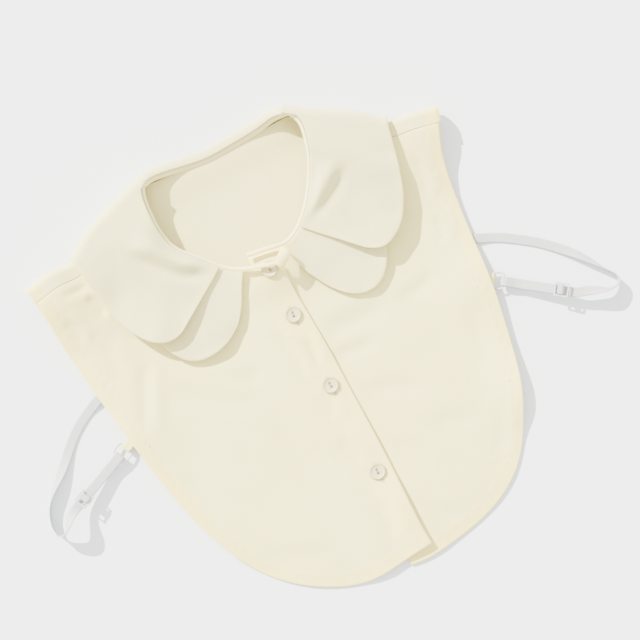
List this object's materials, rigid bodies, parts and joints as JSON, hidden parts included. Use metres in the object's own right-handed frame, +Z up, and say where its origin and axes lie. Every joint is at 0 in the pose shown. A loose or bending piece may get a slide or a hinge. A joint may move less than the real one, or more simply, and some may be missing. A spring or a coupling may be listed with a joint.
{
  "type": "false collar",
  "caption": "Detachable false collar laid flat: button-front bib and back panel, two-tier petal collar, bound neck, side elastics with sliders and rings.",
  "frame": {"origin": "centre of the bounding box's base, on the surface that the garment lies on", "axes": "+X across the garment through both side elastics, +Y from the hem to the neck, +Z up from the surface"},
  "size_m": [0.4206, 0.3228, 0.0199],
  "materials": {
    "cloth": "smooth, fine weave, cream white",
    "collar_cloth": "smooth, fine weave, cream white",
    "binding_cloth": "bias strip of the same cloth",
    "tab_cloth": "folded strip of the same cloth",
    "button": "pearly, polished",
    "elastic": "woven elastic, white",
    "ring": "clear-white, polished",
    "slider": "clear-white, polished"
  },
  "bodies": {
    "root": {"back_panel": "cloth", "front_left": "cloth", "front_right": "cloth", "collar_upper_left": "collar_cloth", "collar_upper_right": "collar_cloth", "collar_back": "collar_cloth", "collar_lower_left": "collar_cloth", "collar_lower_right": "collar_cloth", "neck_binding_left": "binding_cloth", "neck_binding_right": "binding_cloth", "neck_binding_back": "binding_cloth", "button_neck": "button", "button_1": "button", "button_2": "button", "button_3": "button", "elastic_left": "elastic", "elastic_right": "elastic", "elastic_end_left": "elastic", "elastic_end_right": "elastic", "ring_left": "ring", "ring_right": "ring", "ring_tab_left": "tab_cloth", "ring_tab_right": "tab_cloth", "slider_left": "slider", "slider_right": "slider"}
  },
  "joints": []
}
